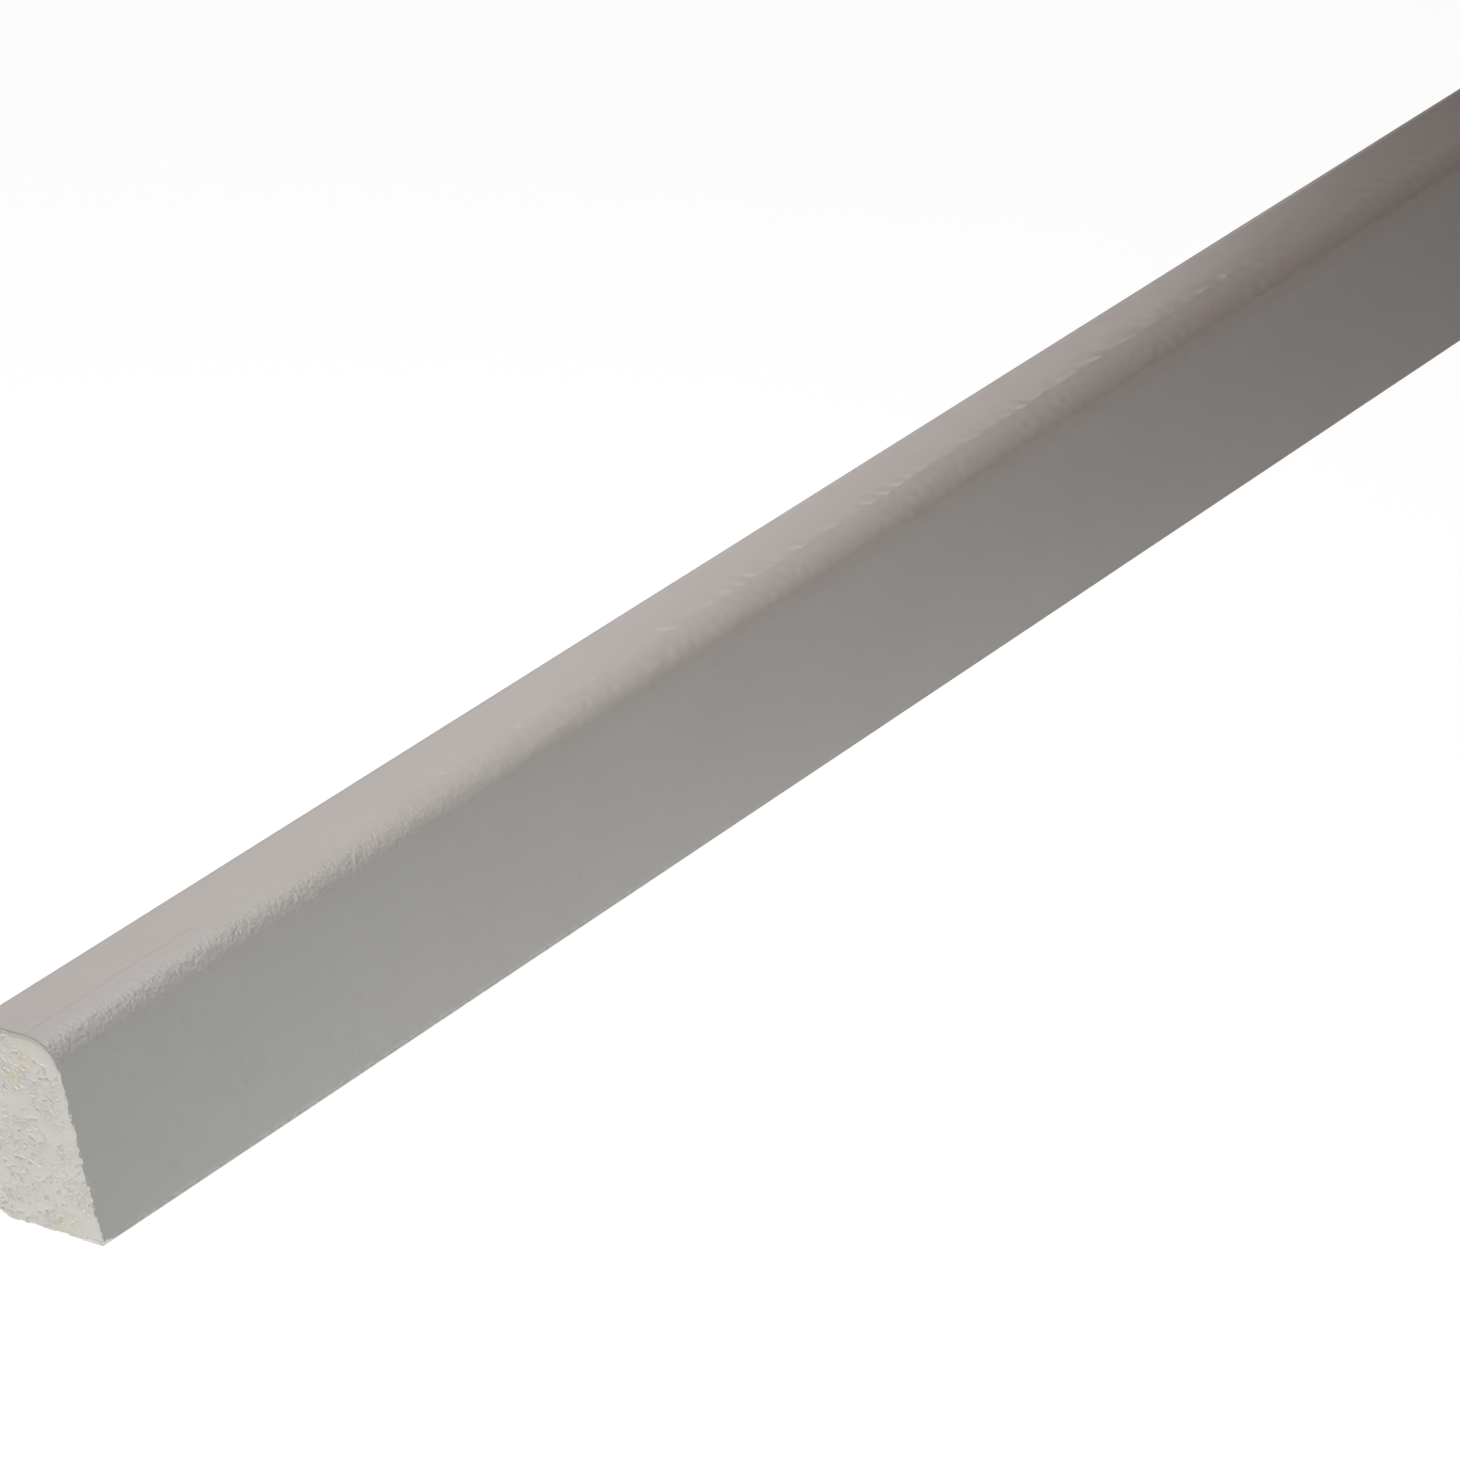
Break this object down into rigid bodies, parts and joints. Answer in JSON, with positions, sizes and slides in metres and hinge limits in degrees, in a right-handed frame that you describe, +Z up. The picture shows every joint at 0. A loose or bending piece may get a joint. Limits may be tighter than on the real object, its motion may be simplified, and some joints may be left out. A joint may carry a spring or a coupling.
{
  "type": "cover strip",
  "caption": "Straight foamed-plastic cover strip with a leaning front, a round nose, a flat top and back, and a grey film finish over a sawn off-white core.",
  "frame": {"origin": "under the middle of the strip, at the centre of its bounding box in X and Y and on the plane of its base", "axes": "+X along the strip's length, +Y out of the flat back towards the wall, -Y towards the leaning front face, +Z up out of the level top"},
  "size_m": [0.3, 0.0144, 0.02],
  "materials": {
    "decor_film": "satin",
    "foam_core": "matte"
  },
  "bodies": {
    "root": {"cover_strip": "decor_film"}
  },
  "joints": []
}
